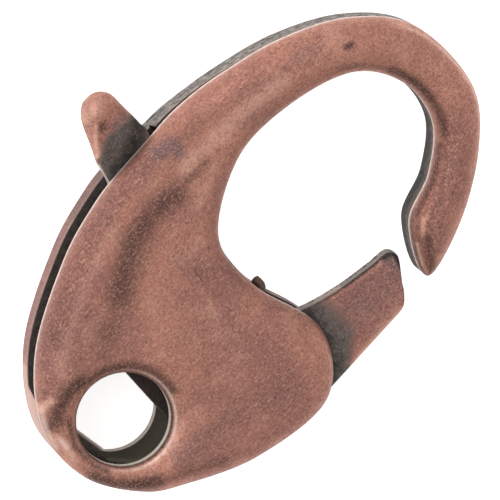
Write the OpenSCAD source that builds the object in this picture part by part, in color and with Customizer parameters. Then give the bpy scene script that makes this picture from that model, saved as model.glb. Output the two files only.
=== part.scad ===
// Stamped lobster clasp: two dished shells, a folded lever, a pivot pin and a torsion spring.
// The axis of the ring eye is the Z axis, the hook points along +X and the thumb tab along +Y.
// The hook's seam lies at Z = 0. The rear shell is below it and the front shell above it.

/* [Clasp] */
// Length of the shells, from the ring end to the end of the hook
clasp_len = 12; // [11.4:0.1:13]
// Width of the shells, without the thumb tab
clasp_w = 6.8; // [6.4:0.1:7.4]
// Distance from the eye's axis to the ring end
eye_land = 1.52; // [1.46:0.01:1.7]

/* [Shells] */
// Thickness of the shells' sheet
sheet_t = 0.35; // [0.3:0.01:0.4]
// Depth of the front shell, from its rim to its crown
front_depth = 0.75; // [0.7:0.01:0.95]
// Straight wall at the front shell's rim
front_wall = 0.2; // [0.15:0.01:0.3]
// Width of the front shell's rounded edge, seen from above
front_round = 0.55; // [0.45:0.01:0.7]
// Depth of the rear shell, from its rim to its crown
rear_depth = 1; // [0.95:0.01:1.2]
// Straight wall at the rear shell's rim
rear_wall = 0.65; // [0.5:0.01:0.75]
// Width of the rear shell's rounded edge, seen from above
rear_round = 0.35; // [0.3:0.01:0.5]
// Height that the front shell steps up by over the body, which makes room for the lever
body_step = 0.55; // [0.55:0.01:0.7]
// Hairline gap between the rims of the two shells
seam = 0.03; // [0.02:0.01:0.05]

/* [Ring eye] */
// Radius of the eye
eye_r = 1.03; // [0.9:0.01:1.08]
// How far the sheet dips towards the eye's edge
eye_dip = 0.25; // [0.1:0.01:0.3]
// Width of the dip round the eye
eye_dip_w = 0.6; // [0.4:0.01:0.8]
// Distance from the eye's axis to the tongue folded inside the rear shell
tongue_from = 0.85; // [0.85:0.01:0.95]
// Length of the tongue, along the clasp
tongue_len = 0.75; // [0.5:0.05:1]
// Thickness of the tongue, which is pressed thinner than the sheet
tongue_t = 0.2; // [0.15:0.01:0.22]

/* [Lever] */
// Thickness of the folded lever, which is two sheets pressed flat
lever_t = 0.44; // [0.38:0.01:0.46]
// Hairline slit between the lever's two sheets
lever_slit = 0.03; // [0.02:0.01:0.05]
// Clearance between the lever's lower sheet and the rear shell's low rims
rim_clear = 0.06; // [0.04:0.01:0.08]
// Depth of those low rims below the hook's seam
low_rim = 0.12; // [0.1:0.01:0.16]
// Radius of the lever's flat hub
hub_r = 0.85; // [0.8:0.01:0.95]
// Radius of the barrel drawn up in the hub
barrel_r = 0.6; // [0.55:0.01:0.62]
// Gap between the barrel's ends and the shells
barrel_end_gap = 0.05; // [0.03:0.01:0.08]
// Radius of the gate's tip
tip_r = 0.26; // [0.2:0.01:0.3]
// Direction that the gate's slanted end faces, in degrees from the hook's axis
gate_end_angle = -42; // [-48:1:-36]
// Radius of the thumb tab's rounded end
thumb_r = 0.45; // [0.4:0.01:0.5]
// Radius of the thumb tab's two shoulders
shoulder_r = 0.36; // [0.3:0.01:0.4]

/* [Pin and spring] */
// Radius of the pivot pin
pin_r = 0.35; // [0.3:0.01:0.38]
// Running clearance between the pin and the lever's bore
pin_clear = 0.04; // [0.02:0.01:0.08]
// Depth of the pin's seats in the two shells
seat_depth = 0.15; // [0.1:0.01:0.2]
// Diameter of the spring's wire
wire_d = 0.22; // [0.16:0.01:0.22]
// Gap between the spring and what it lies beside
wire_gap = 0.03; // [0.02:0.01:0.05]

/* [Hidden] */

// A plan point given as percent of the length from the ring end, and of the width from the eye's axis.
function at(p) = [p.x * clasp_len / 100 - eye_land, p.y * clasp_w / 100];

// Matching points of the shells' outline, from the ring end round the hook to its tip.
back_points = [
    [0.3, -3.9], [1.6, 15.8], [10.9, 34.5], [26.4, 47.9], [37.6, 52.9], [45.3, 54.0], [53.6, 53.5],
    [59.6, 52.6], [70.1, 48.7], [81.4, 42.0], [92.3, 30.0], [99.3, 12.3], [98.8, -12.7],
    [91.8, -28.2], [79.9, -40.5], [68.1, -45.1]
];
gate_points = [
    [0.3, -3.9], [5.1, -20.8], [11.3, -29.8], [24.0, -41.5], [39.8, -45.4], [48.3, -28.8], [46.0, -3.7],
    [48.1, 16.5], [60.4, 27.2], [73.8, 26.3], [85.8, 18.2], [90.6, 3.4], [89.0, -12.6],
    [81.6, -23.3], [72.9, -29.3], [68.1, -45.1]
];
last = len(back_points) - 1;

// Where the rear shell's rim is low, in outline points from the ring end.
slot_start = 1.4;
slot_end = 6.1;
slot_taper_end = 8.6;
slot_taper_h = 0.2;
throat_start = 3.8;
throat_end = 6.4;
rim_ramp = 0.12;

// Where the front shell steps down from the body to the hook, in percent of the length.
step_from = at([45.1, 0]).x;
step_to = at([66.7, 0]).x;

// Plan points of the lever.
pivot = at([35.9, -19.1]);
gate_root = at([43.0, -16.6]);
gate_bow = at([55.5, -29.2]);
gate_top = at([64.7, -29.2]);
gate_fold = at([41.8, -46.7]);
arm_right = [at([40.4, -12.0]), at([41.5, 3.0]), at([43.2, 20.0]), at([52.4, 51.0])];
arm_left = [at([41.2, 51.0]), at([32.4, 15.0]), at([30.0, -8.0])];
arm_top_left = at([42.0, 60.0]);
arm_top_right = at([52.8, 60.0]);
thumb_end = at([50.0, 70.4]);
shoulder_right = at([50.6, 60.6]);
shoulder_left = at([44.9, 60.0]);
thumb_rise = 0.16;

// Heights.
tongue_bite = 0.02;
fold_len = tongue_len / 3;
fold_w = eye_r * 0.8;
lever_z = rim_clear - low_rim;
front_rim_z = body_step + seam;
ceiling_z = front_rim_z + front_depth - sheet_t;
floor_z = sheet_t - rear_depth;
through_h = 2 * (front_rim_z + front_depth + rear_depth);

// Stations of the shells' lofts.
stations = 78;
first_station = 0.04;
last_station = last - first_station;
cavity_bend = 12;
cavity_last = 13.75;
widest_band = 0.3;
throat_lean = clasp_len * 7.5 / 100;
lean_at = 5.4;
lean_reach = 1.1;
crown_rows = [-0.85, -0.6, -0.4, -0.2, 0.2, 0.4, 0.6, 0.85];
outer_band = [0 : 30 : 90];
inner_band = [0 : 45 : 90];
inner_edge = 0.1;

function unit(v) = v / norm(v);
function clamp(x) = max(0, min(1, x));
function smooth(x) = let (c = clamp(x)) c * c * (3 - 2 * c);

// An outline point by its number. Past either end, the outline runs on along its other side.
function anchor(a, b, i) = i < 0 ? at(b[-i]) : i > last ? at(b[2 * last - i]) : at(a[i]);

// Point of the Catmull-Rom curve through side a, at s points from the ring end.
function side(a, b, s) =
    s < 0 ? side(b, a, -s) :
    let (i = min(floor(s), last - 1), f = s - i,
         p = anchor(a, b, i - 1), q = anchor(a, b, i), r = anchor(a, b, i + 1), t = anchor(a, b, i + 2))
    q + f * (r - p) / 2 + f * f * (p - 2.5 * q + 2 * r - t / 2) + f * f * f * (1.5 * (q - r) + (t - p) / 2);

// The same point moved into the shell by an inset, at right angles to the outline.
function inset_side(a, b, s, inset, turn) =
    let (e = 0.02, d = unit(side(a, b, s + e) - side(a, b, s - e)))
    side(a, b, s) + inset * turn * [d.y, -d.x];

function station(k) = first_station + (last_station - first_station) * k / stations;
function cavity_station(k) =
    let (s = station(k), share = (cavity_last - cavity_bend) / (last_station - cavity_bend))
    s < cavity_bend ? s : cavity_bend + (s - cavity_bend) * share;

outline_back = [for (k = [0 : stations]) side(back_points, gate_points, station(k))];
outline_gate = [for (k = [0 : stations]) side(gate_points, back_points, station(k))];
cavity_back = [for (k = [0 : stations])
    inset_side(back_points, gate_points, cavity_station(k), sheet_t, 1)];
cavity_gate = [for (k = [0 : stations])
    inset_side(gate_points, back_points, cavity_station(k), sheet_t, -1)];

// Distance from a point to the nearest edge of a loft's plan, among the stations near station k.
edge_reach = 9;
function gap2(p, a, b) = let (d = b - a, q = p - a - clamp((p - a) * d / (d * d)) * d) q * q;
function edge_distance(p, ends, a, b, k) =
    let (lo = max(0, k - edge_reach), hi = min(stations, k + edge_reach) - 1)
    sqrt(min(concat(
        [for (i = [lo : hi]) min(gap2(p, a[i], a[i + 1]), gap2(p, b[i], b[i + 1]))],
        [for (i = ends) gap2(p, a[i], b[i])])));

// Height that the front shell's rim has gained over the hook's seam, at x.
function step_up(x) = body_step * (1 - smooth((x - step_from) / (step_to - step_from)));

// Depth of the dip round the eye.
function dip(p) = eye_dip * pow(clamp(1 - (norm(p) - eye_r) / eye_dip_w), 2);

// Rounded rise of a shell's edge, as a share of its height.
function dome(d, round_w) = sqrt(1 - pow(1 - clamp(d / round_w), 2));

// Shares of a cross line where its points lie: both rounded bands, and the crown between them.
function cross_shares(w, round_w, band) =
    let (b = min(round_w / w, widest_band))
    concat([for (a = band) b * (1 - cos(a))], [for (c = crown_rows) 0.5 + (0.5 - b) * c],
           [for (a = band) 1 - b * (1 - cos(90 - a))]);

// Middle of a cross line. At the throat it leans into the body, so that the line stays inside the plan.
function lean(s) = throat_lean * exp(-pow((s - lean_at) / lean_reach, 2));
function middle(a, b, k) = (a[k] + b[k]) / 2 - [lean(station(k)), 0];
function on_line(a, m, b, share) = share < 0.5 ? a + 2 * share * (m - a) : m + (2 * share - 1) * (b - m);

// One skin of a shell: rows of points across it, from rim to rim.
function skin(a, b, round_w, wall, rise, band) =
    [for (k = [0 : stations])
        let (m = middle(a, b, k), w = norm(m - a[k]) + norm(b[k] - m))
        [for (share = cross_shares(w, round_w, band))
            let (p = on_line(a[k], m, b[k], share), d = edge_distance(p, [0, stations], a, b, k))
            [p.x, p.y, wall + rise * dome(d, round_w) - dip(p)]]];

function inner_wall(depth, wall) = min(wall, depth - sheet_t - inner_edge);
function outer_skin(depth, wall, round_w) =
    skin(outline_back, outline_gate, round_w, wall, depth - wall, outer_band);
function inner_skin(depth, wall, round_w) =
    skin(cavity_back, cavity_gate, max(round_w - sheet_t, inner_edge), inner_wall(depth, wall),
         depth - sheet_t - inner_wall(depth, wall), inner_band);

// A skin's rows in place: up on the front shell, down on the rear one, with the rims added.
function front_rows(rows) =
    [for (row = rows)
        let (a = row[0], b = row[len(row) - 1])
        concat([[a.x, a.y, step_up(a.x) + seam]],
               [for (p = row) [p.x, p.y, p.z + step_up(p.x) + seam]],
               [[b.x, b.y, step_up(b.x) + seam]])];
function rear_rows(rows) =
    [for (k = [0 : stations])
        let (row = rows[k], a = row[0], b = row[len(row) - 1])
        concat([[a.x, a.y, rear_rim(a.x, back_low(station(k))) - slot_taper(station(k))]],
               [for (p = row) [p.x, p.y, -p.z]],
               [[b.x, b.y, rear_rim(b.x, throat_low(station(k)))]])];

// The rear shell's rim meets the front shell's, or drops to the low rim where the lever passes.
function rear_rim(x, low) = (1 - low) * step_up(x) - low * low_rim;
function opened(s, from, to) = smooth((s - from) / rim_ramp) * (1 - smooth((s - to) / rim_ramp));
function back_low(s) = opened(s, slot_start, slot_end);
function throat_low(s) = opened(s, throat_start, throat_end);
function slot_taper(s) =
    s < slot_end ? 0 : slot_taper_h * clamp((slot_taper_end - s) / (slot_taper_end - slot_end));

function halves(q) = [[q[0], q[1], q[2]], [q[0], q[2], q[3]]];
function backwards(f) = [for (i = [len(f) - 1 : -1 : 0]) f[i]];
function flat(lists) = [for (l = lists) each l];

// A closed shell between an outer and an inner skin, which both run from rim to rim.
module shell(outer, inner, turned) {
    wide = len(outer[0]);
    narrow = len(inner[0]);
    base = len(outer) * wide;
    outside = function (k, j) k * wide + j;
    inside = function (k, j) base + k * narrow + j;
    steps = [0 : stations - 1];
    skin_out = [for (k = steps, j = [0 : wide - 2])
        [outside(k, j), outside(k + 1, j), outside(k + 1, j + 1), outside(k, j + 1)]];
    skin_in = [for (k = steps, j = [0 : narrow - 2])
        [inside(k, j), inside(k, j + 1), inside(k + 1, j + 1), inside(k + 1, j)]];
    rims = [for (k = steps) each [
        [outside(k, 0), inside(k, 0), inside(k + 1, 0), outside(k + 1, 0)],
        [outside(k, wide - 1), outside(k + 1, wide - 1), inside(k + 1, narrow - 1), inside(k, narrow - 1)]]];
    ends = [
        [outside(0, 0), outside(0, wide - 1), inside(0, narrow - 1), inside(0, 0)],
        [outside(stations, 0), inside(stations, 0),
         inside(stations, narrow - 1), outside(stations, wide - 1)]];
    caps = concat(
        [for (j = [1 : wide - 2]) [outside(0, 0), outside(0, j), outside(0, j + 1)]],
        [for (j = [1 : wide - 2]) [outside(stations, 0), outside(stations, j + 1), outside(stations, j)]],
        [for (j = [1 : narrow - 2]) [inside(0, 0), inside(0, j + 1), inside(0, j)]],
        [for (j = [1 : narrow - 2]) [inside(stations, 0), inside(stations, j), inside(stations, j + 1)]]);
    faces = concat(flat([for (q = concat(skin_out, skin_in, rims, ends)) halves(q)]), caps);
    polyhedron(points = concat(flat(outer), flat(inner)),
               faces = turned ? [for (f = faces) backwards(f)] : faces);
}

module through_hole(p, r) {
    translate([p.x, p.y, -through_h / 2])
        cylinder(r = r, h = through_h, $fn = 64);
}

// The pin's own volume, which its seats are cut with too.
module pin_body() {
    low = floor_z - seat_depth;
    translate([pivot.x, pivot.y, low])
        cylinder(r = pin_r, h = ceiling_z + seat_depth - low, $fn = 48);
}

module front_shell() {
    color([0.67, 0.46, 0.4])
        difference() {
            shell(front_rows(outer_skin(front_depth, front_wall, front_round)),
                  front_rows(inner_skin(front_depth, front_wall, front_round)), false);
            through_hole([0, 0], eye_r);
            pin_body();
        }
}

// The slug of the rear shell's eye stays on as a tongue, folded back over the eye's raised lip.
// Its fold stands on the floor beside the eye.
module tongue() {
    translate([tongue_from, -eye_r, floor_z + eye_dip - tongue_bite])
        cube([tongue_len, 2 * eye_r, tongue_t]);
    translate([eye_r + tongue_bite, -fold_w / 2, floor_z])
        cube([fold_len, fold_w, eye_dip]);
}

module rear_shell() {
    color([0.6, 0.42, 0.37])
        difference() {
            shell(rear_rows(outer_skin(rear_depth, rear_wall, rear_round)),
                  rear_rows(inner_skin(rear_depth, rear_wall, rear_round)), true);
            through_hole([0, 0], eye_r);
            pin_body();
        }
    color([0.6, 0.42, 0.37])
        tongue();
}

function arc(c, r, from, to) =
    [for (i = [0 : 6]) let (a = from + (to - from) * i / 6) c + r * [cos(a), sin(a)]];
function bow(a, b, c) =
    [for (i = [0 : 8]) let (t = i / 8) (1 - t) * (1 - t) * a + 2 * t * (1 - t) * b + t * t * c];

// The gate's outer edge is the fold, and its heel is where the fold meets the slanted end.
fold_r = lever_t / 2;
fold_y = gate_fold.y + fold_r;
end_dir = [cos(gate_end_angle), sin(gate_end_angle)];
tip_centre = [gate_top.x, gate_top.y - tip_r];
heel = [(end_dir * tip_centre + tip_r - fold_r - end_dir.y * fold_y) / end_dir.x, fold_y];

lever_plan = concat(
    bow(gate_root, gate_bow, gate_top),
    arc(tip_centre, tip_r, 90, gate_end_angle),
    [heel + fold_r * end_dir, heel, [gate_fold.x, fold_y]],
    arc(pivot, hub_r, 270, 150),
    backwards(arm_left), [arm_top_left, arm_top_right], backwards(arm_right));

module lever() {
    mid_z = lever_z + lever_t / 2;
    barrel_z = floor_z + barrel_end_gap;
    color([0.62, 0.43, 0.4])
        difference() {
            union() {
                translate([0, 0, lever_z])
                    linear_extrude(lever_t)
                        polygon(lever_plan);
                translate([gate_fold.x, fold_y, mid_z])
                    rotate([0, 90, 0])
                        cylinder(r = fold_r, h = heel.x - gate_fold.x, $fn = 32);
                translate([heel.x, heel.y, mid_z])
                    sphere(r = fold_r, $fn = 32);
                translate([pivot.x, pivot.y, barrel_z])
                    cylinder(r = barrel_r, h = ceiling_z - barrel_end_gap - barrel_z, $fn = 48);
                thumb_tab(mid_z);
            }
            through_hole(pivot, pin_r + pin_clear);
            gate_slit(mid_z);
        }
}

module thumb_tab(mid_z) {
    hull() {
        translate([thumb_end.x, thumb_end.y, mid_z + thumb_rise])
            sphere(r = thumb_r, $fn = 24);
        for (p = [shoulder_left, shoulder_right])
            translate([p.x, p.y, mid_z + thumb_rise])
                sphere(r = shoulder_r, $fn = 20);
    }
}

// The slit runs in from the gate's inner edge and stops at the fold.
module gate_slit(mid_z) {
    slit_x = at([49, 0]).x;
    translate([slit_x, fold_y, mid_z - lever_slit / 2])
        cube([clasp_len, -fold_y, lever_slit]);
}

module pivot_pin() {
    color([0.55, 0.5, 0.46])
        pin_body();
}

// The spring's wire: a hooked end over the throat's rim, a coil round the barrel, and a leg beside the arm.
coil_r = barrel_r + wire_gap + wire_d / 2;
coil_low = floor_z + wire_gap + wire_d / 2;
coil_pitch = wire_d + 0.005;
hook_z = wire_gap + wire_d / 2 - low_rim;
hook_x = at([46.75, 0]).x;
hook_y = at([0, -8.6]).y;
hook_end_y = at([0, -4.9]).y;
rise_at = [at([41.9, 0]).x, hook_y];
coil_from = let (v = rise_at - pivot) atan2(v.y, v.x) - acos(coil_r / norm(v));
coil_to = -540;
leg_up = at([30.4, 8.0]);
leg_end_z = lever_z + lever_t / 2;
wire_sides = 8;

function on_coil(a) =
    [pivot.x + coil_r * cos(a), pivot.y + coil_r * sin(a), coil_low + coil_pitch * (coil_from - a) / 360];
function bend(a, b, c, r) =
    let (p = b + r * unit(a - b), q = b + r * unit(c - b))
    [for (i = [0 : 4]) let (t = i / 4) (1 - t) * (1 - t) * p + 2 * t * (1 - t) * b + t * t * q];
function tangent(path, i) = unit(path[min(i + 1, len(path) - 1)] - path[max(i - 1, 0)]);
function carried(path, i, n) =
    i == len(path) ? [] :
    let (t = tangent(path, i), m = unit(n - (n * t) * t))
    concat([m], carried(path, i + 1, m));

coil = [for (a = [coil_from : -(coil_from - coil_to) / 36 : coil_to + 0.1]) on_coil(a)];
coil_end = on_coil(coil_to);
leg_low = [coil_end.x, leg_up.y, coil_end.z];
hook_tip = [hook_x, hook_end_y, hook_z];
hook_corner = [hook_x, hook_y, hook_z];
rim_point = [rise_at.x, rise_at.y, hook_z];
wire_bend = 0.14;
wire_path = concat(
    [hook_tip], bend(hook_tip, hook_corner, rim_point, wire_bend),
    bend(hook_corner, rim_point, coil[0], wire_bend), coil, [coil_end],
    bend(coil_end, leg_low, leg_low + [0, 0, 1], wire_bend), [[leg_low.x, leg_low.y, leg_end_z]]);

module spring() {
    normals = carried(wire_path, 0, [0, 0, 1]);
    rings = [for (i = [0 : len(wire_path) - 1])
        let (m = normals[i], c = cross(tangent(wire_path, i), m))
        [for (j = [0 : wire_sides - 1])
            let (a = 360 * j / wire_sides) wire_path[i] + wire_d / 2 * (cos(a) * m + sin(a) * c)]];
    count = len(rings);
    start = [for (j = [0 : wire_sides - 1]) j];
    sides = [for (i = [0 : count - 2], j = [0 : wire_sides - 1])
        let (n = (j + 1) % wire_sides)
        [i * wire_sides + j, (i + 1) * wire_sides + j, (i + 1) * wire_sides + n, i * wire_sides + n]];
    color([0.3, 0.27, 0.24])
        polyhedron(points = flat(rings),
                   faces = concat(flat([for (q = sides) halves(q)]), [start],
                                  [[for (j = backwards(start)) (count - 1) * wire_sides + j]]));
}

front_shell();
rear_shell();
lever();
pivot_pin();
spring();
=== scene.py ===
# %% [markdown]
# # A stamped lobster clasp
# The clasp is 12 mm long: a front and a rear shell stamped from sheet brass, plated with copper
# and antiqued, with a folded lever between them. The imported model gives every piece's place, so this
# notebook only makes finer surfaces round the same outlines and gives them their finish.

import bmesh
import bpy
import numpy as np
from mathutils import Matrix


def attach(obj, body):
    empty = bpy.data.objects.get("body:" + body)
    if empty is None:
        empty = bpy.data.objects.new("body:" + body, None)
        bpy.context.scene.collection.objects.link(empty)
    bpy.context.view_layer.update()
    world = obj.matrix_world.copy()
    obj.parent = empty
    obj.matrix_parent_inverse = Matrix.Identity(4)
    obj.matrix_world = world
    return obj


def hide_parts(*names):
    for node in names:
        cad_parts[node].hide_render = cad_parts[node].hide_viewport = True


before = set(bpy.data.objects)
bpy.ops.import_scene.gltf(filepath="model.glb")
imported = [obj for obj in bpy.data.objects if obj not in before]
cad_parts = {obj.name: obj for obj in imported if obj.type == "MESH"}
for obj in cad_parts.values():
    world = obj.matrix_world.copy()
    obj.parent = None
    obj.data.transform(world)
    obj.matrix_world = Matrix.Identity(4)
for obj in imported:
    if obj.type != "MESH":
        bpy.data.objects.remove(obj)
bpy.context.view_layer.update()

print("frame pieces:", sorted(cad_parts))

# %% [markdown]
# ## From arrays to meshes
# Every surface here is a grid of points: rows along the piece, columns across it. Several grids
# make one closed piece, and their shared edges are merged. The same forms could be sculpted or
# bevelled by hand, but a formula gives the same edge every time. Lengths are in millimetres until
# the last step, because the clasp is so small.

# %% Mesh helpers
MM = 0.001
MERGE_DISTANCE = 2e-8


def grid_quads(rows, columns, start, flip=False, closed=False):
    """Corner numbers of a grid's quads: point (i, j) is start + i * columns + j.
    closed joins the last column to the first."""
    i, j = np.meshgrid(np.arange(rows - 1), np.arange(columns if closed else columns - 1), indexing="ij")
    k = (j + 1) % columns
    this_row, next_row = i * columns, (i + 1) * columns
    quads = start + np.stack([this_row + j, next_row + j, next_row + k, this_row + k], -1)
    quads = quads.reshape(-1, 4)
    return quads[:, ::-1] if flip else quads


def make_piece(name, patches, body, replaces=()):
    """A piece from patches, riding on a body. Each patch is (points [rows, columns, 3] in mm,
    marks {name: [rows, columns]}, flip, closed). Points nearer than the merge distance become one."""
    points, quads, marks, start = [], [], {}, 0
    names = sorted({key for patch in patches for key in patch[1]})
    for grid, own_marks, flip, closed in patches:
        rows, columns = grid.shape[:2]
        points.append(grid.reshape(-1, 3))
        quads.append(grid_quads(rows, columns, start, flip, closed))
        for key in names:
            value = np.broadcast_to(own_marks.get(key, 0.0), (rows, columns))
            marks.setdefault(key, []).append(value.reshape(-1))
        start += rows * columns
    points, quads = np.concatenate(points) * MM, np.concatenate(quads)
    mesh = bpy.data.meshes.new(name)
    mesh.from_pydata(points.astype(float), [], quads.tolist())
    for key in names:
        layer = mesh.attributes.new(key, "FLOAT", "POINT")
        layer.data.foreach_set("value", np.concatenate(marks[key]).astype(np.float32))
    work = bmesh.new()
    work.from_mesh(mesh)
    bmesh.ops.remove_doubles(work, verts=work.verts, dist=MERGE_DISTANCE)
    bmesh.ops.dissolve_degenerate(work, edges=work.edges, dist=MERGE_DISTANCE)
    bmesh.ops.recalc_face_normals(work, faces=work.faces)
    open_edges = sum(not edge.is_manifold for edge in work.edges)
    work.to_mesh(mesh)
    work.free()
    mesh.polygons.foreach_set("use_smooth", np.ones(len(mesh.polygons), bool))
    piece = bpy.data.objects.new(name, mesh)
    bpy.context.scene.collection.objects.link(piece)
    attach(piece, body)
    if replaces:
        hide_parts(*replaces)
    print(name, len(mesh.polygons), "faces,", open_edges, "open edges")
    return piece


def smooth(x):
    """0 below 0, 1 above 1, and 3x^2 - 2x^3 between."""
    x = np.clip(x, 0, 1)
    return x * x * (3 - 2 * x)


# %% [markdown]
# ## The outline
# Seen from above, a shell is a band bent into a hook: one side runs round the back, and the other
# along the ring end, round the throat where the gate closes, and inside the hook. Sixteen matching
# points on each side are joined by Catmull-Rom curves. That is the curve the stamping die follows.

# %% Outline curves
CLASP_LENGTH, CLASP_WIDTH = 12.0, 6.8
EYE_FROM_END = 1.52
BACK = np.array([
    [0.3, -3.9], [1.6, 15.8], [10.9, 34.5], [26.4, 47.9], [37.6, 52.9], [45.3, 54.0], [53.6, 53.5],
    [59.6, 52.6], [70.1, 48.7], [81.4, 42.0], [92.3, 30.0], [99.3, 12.3], [98.8, -12.7],
    [91.8, -28.2], [79.9, -40.5], [68.1, -45.1]])
GATE_SIDE = np.array([
    [0.3, -3.9], [5.1, -20.8], [11.3, -29.8], [24.0, -41.5], [39.8, -45.4], [48.3, -28.8], [46.0, -3.7],
    [48.1, 16.5], [60.4, 27.2], [73.8, 26.3], [85.8, 18.2], [90.6, 3.4], [89.0, -12.6],
    [81.6, -23.3], [72.9, -29.3], [68.1, -45.1]])
LAST = len(BACK) - 1


def at(percent):
    """Millimetres from percent of the length, from the ring end, and of the width, from the eye."""
    percent = np.asarray(percent, float)
    return np.stack([percent[..., 0] * CLASP_LENGTH / 100 - EYE_FROM_END,
                     percent[..., 1] * CLASP_WIDTH / 100], -1)


def catmull_rom(points, s):
    """Catmull-Rom curve: a cubic from point to point, whose slope at each point is half the step between
    its neighbours. At s = i it passes through points[i + 1]; the first and last points only steer."""
    i = np.clip(np.floor(s).astype(int), 0, len(points) - 4)
    f = (s - i)[:, None]
    p, q, r, t = points[i], points[i + 1], points[i + 2], points[i + 3]
    straight = q + f * (r - p) / 2
    return straight + f * f * (p - 2.5 * q + 2 * r - t / 2) + f ** 3 * (1.5 * (q - r) + (t - p) / 2)


def side(own, other, s):
    """A side of the outline. Past each end it is steered by the other side, so both meet smoothly."""
    return catmull_rom(at(np.vstack([other[1], own, other[-2]])), s)


def inset_side(own, other, s, inset, turn):
    """The side's points moved into the shell: the point plus inset times the tangent turned 90 degrees."""
    step = 0.01
    ahead = side(own, other, np.minimum(s + step, LAST)) - side(own, other, np.maximum(s - step, 0))
    ahead /= np.linalg.norm(ahead, axis=1, keepdims=True)
    return side(own, other, s) + inset * turn * np.stack([ahead[:, 1], -ahead[:, 0]], -1)


def distance_to(points, line, chunk=2500):
    """Distance from each point to the nearest segment of a line of points."""
    a, d = line[:-1], line[1:] - line[:-1]
    flat = points.reshape(-1, 2)
    result = []
    for part in np.array_split(flat, max(1, len(flat) // chunk)):
        q = part[:, None] - a
        t = np.clip((q * d).sum(-1) / np.maximum((d * d).sum(-1), 1e-12), 0, 1)
        result.append(np.linalg.norm(q - t[..., None] * d, axis=-1).min(1))
    return np.concatenate(result).reshape(points.shape[:-1])


ring_end, hook_end = at(BACK[0]), at(BACK[-1])
print("ring end at", ring_end.round(3), "mm and hook end at", hook_end.round(3), "mm from the eye")


# %% [markdown]
# ## Where the finish is worn, and where light and shade are painted
# An oxide bath darkens the whole clasp, and then tumbling rubs it back to copper on ridges and edges.
# Many strokes also paint light and shade into the colour: painted highlights on ridges, edges and the
# eye's lip, painted shade in creases, in the dip round the eye and along the hook's inner edge, and a
# painted reflection of a dark surround over the body. The pattern is particular to each form, so it is
# laid out as soft strokes: a line of plan points, a half width and a strength. Each vertex keeps the
# strongest stroke over it in a mark, and the material breaks the strokes' edges up with noise. An image
# could hold the same pattern, but marks need no unwrapping, and these meshes are fine enough to hold
# them. The dark mark is oxide, painted shade and a painted reflection, plum is oxide clouds with some
# painted shade, grey is oxide clouds, the pinkish and the near white marks are painted highlights over
# rubbed metal, bath and tarnish are what was never rubbed, and the deep mark is oxide and painted shade.

# %% Strokes
def strokes(plan, lines):
    """Strength of the strongest stroke at each plan point. A stroke is full on its line, and falls off
    along a cubic ease to nothing at its half width."""
    best = np.zeros(plan.shape[:-1])
    for points, width, strength in lines:
        away = distance_to(plan, np.asarray(points, float))
        best = np.maximum(best, strength * (1 - smooth(away / width)))
    return best


LINE_POINTS = 24


def edge_line(own, other, turn, s_from, s_to, inset_from, inset_to=None):
    """A line beside the outline: stations and insets both run evenly from their first value to their last."""
    s = np.linspace(s_from, s_to, LINE_POINTS)
    insets = np.linspace(inset_from, inset_from if inset_to is None else inset_to, LINE_POINTS)[:, None]
    on_edge = inset_side(own, other, s, 0.0, turn)
    return on_edge + insets * (inset_side(own, other, s, 1.0, turn) - on_edge)


def back_line(*places):
    """A line inside the back edge: first and last station, then first and last inset."""
    return edge_line(BACK, GATE_SIDE, 1, *places)


def gate_line(*places):
    """A line inside the gate-side edge: first and last station, then first and last inset."""
    return edge_line(GATE_SIDE, BACK, -1, *places)


back_steps = np.diff(back_line(0, LAST, 0), axis=0)
print("the back edge is", round(float(np.linalg.norm(back_steps, axis=1).sum()), 1), "mm long")


# %% [markdown]
# ## Shell surfaces
# A pressed shell has a short straight wall at its rim, a rounded edge, and a gently crowned face.
# So its height depends only on the distance to the outline, apart from two places: the face dips
# round the eye, and the front shell steps down from the body to the hook. The skin is a loft across
# the band. It splits round the eye, where a collar of rings takes over so that the lip is crisp.
# Bending a flat sheet with modifiers is the other way, but then the wall isn't square at the rim.

# %% Shell formulas
# Lengths are in millimetres. Spans such as the slot's are stations along the outline.
SHEET, SEAM, BODY_STEP = 0.35, 0.03, 0.55
STEP_FROM, STEP_TO = at([45.1, 0])[0], at([66.7, 0])[0]
EYE_DIP, EYE_DIP_W = 0.25, 0.6
CROWN_SHARE, CROWN_W = 0.15, 1.7
RIM_R, LIP_R = 0.03, 0.06
LOW_RIM, RIM_RAMP = 0.12, 0.12
SLOT, THROAT = (1.4, 6.1), (3.8, 6.4)


def step_up(x):
    """Extra height of the front shell over the body: a cubic ease down along the step."""
    return BODY_STEP * (1 - smooth((x - STEP_FROM) / (STEP_TO - STEP_FROM)))


def opened(s, span):
    """1 where the rear rim is low, with short ramps at both ends."""
    return smooth((s - span[0]) / RIM_RAMP) * (1 - smooth((s - span[1]) / RIM_RAMP))


def eye_dip(plan, eye_r):
    """Depth of the dip: the square of the share of its width left, so its slope grows evenly inwards."""
    rho = np.linalg.norm(plan, axis=-1)
    return EYE_DIP * np.clip(1 - (rho - eye_r) / EYE_DIP_W, 0, 1) ** 2


def dome(distance, width):
    """Rise of a pressed edge: a quarter circle over the width, and then a slight crown."""
    edge = np.sqrt(1 - (1 - np.clip(distance / width, 0, 1)) ** 2)
    return (1 - CROWN_SHARE) * edge + CROWN_SHARE * smooth(distance / CROWN_W)


def lip_drop(plan, eye_r):
    """How far the eye's rounded lip falls below the face: its radius less a quarter circle's height."""
    off = np.clip(np.linalg.norm(plan, axis=-1) - eye_r, 0, LIP_R)
    return LIP_R - np.sqrt(np.maximum(LIP_R ** 2 - (LIP_R - off) ** 2, 0))


print("the crown is", CROWN_SHARE, "of a shell's rise above its wall")

# %% [markdown]
# ## Stations and the middle line
# A loft is only as even as its cross lines. Station i lies on outline point i, and the stations stand
# closer together round the eye, where the band turns sharply, and at the hook's tip, where its two
# sides run together. Each cross line runs from the edge to a middle line.

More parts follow.
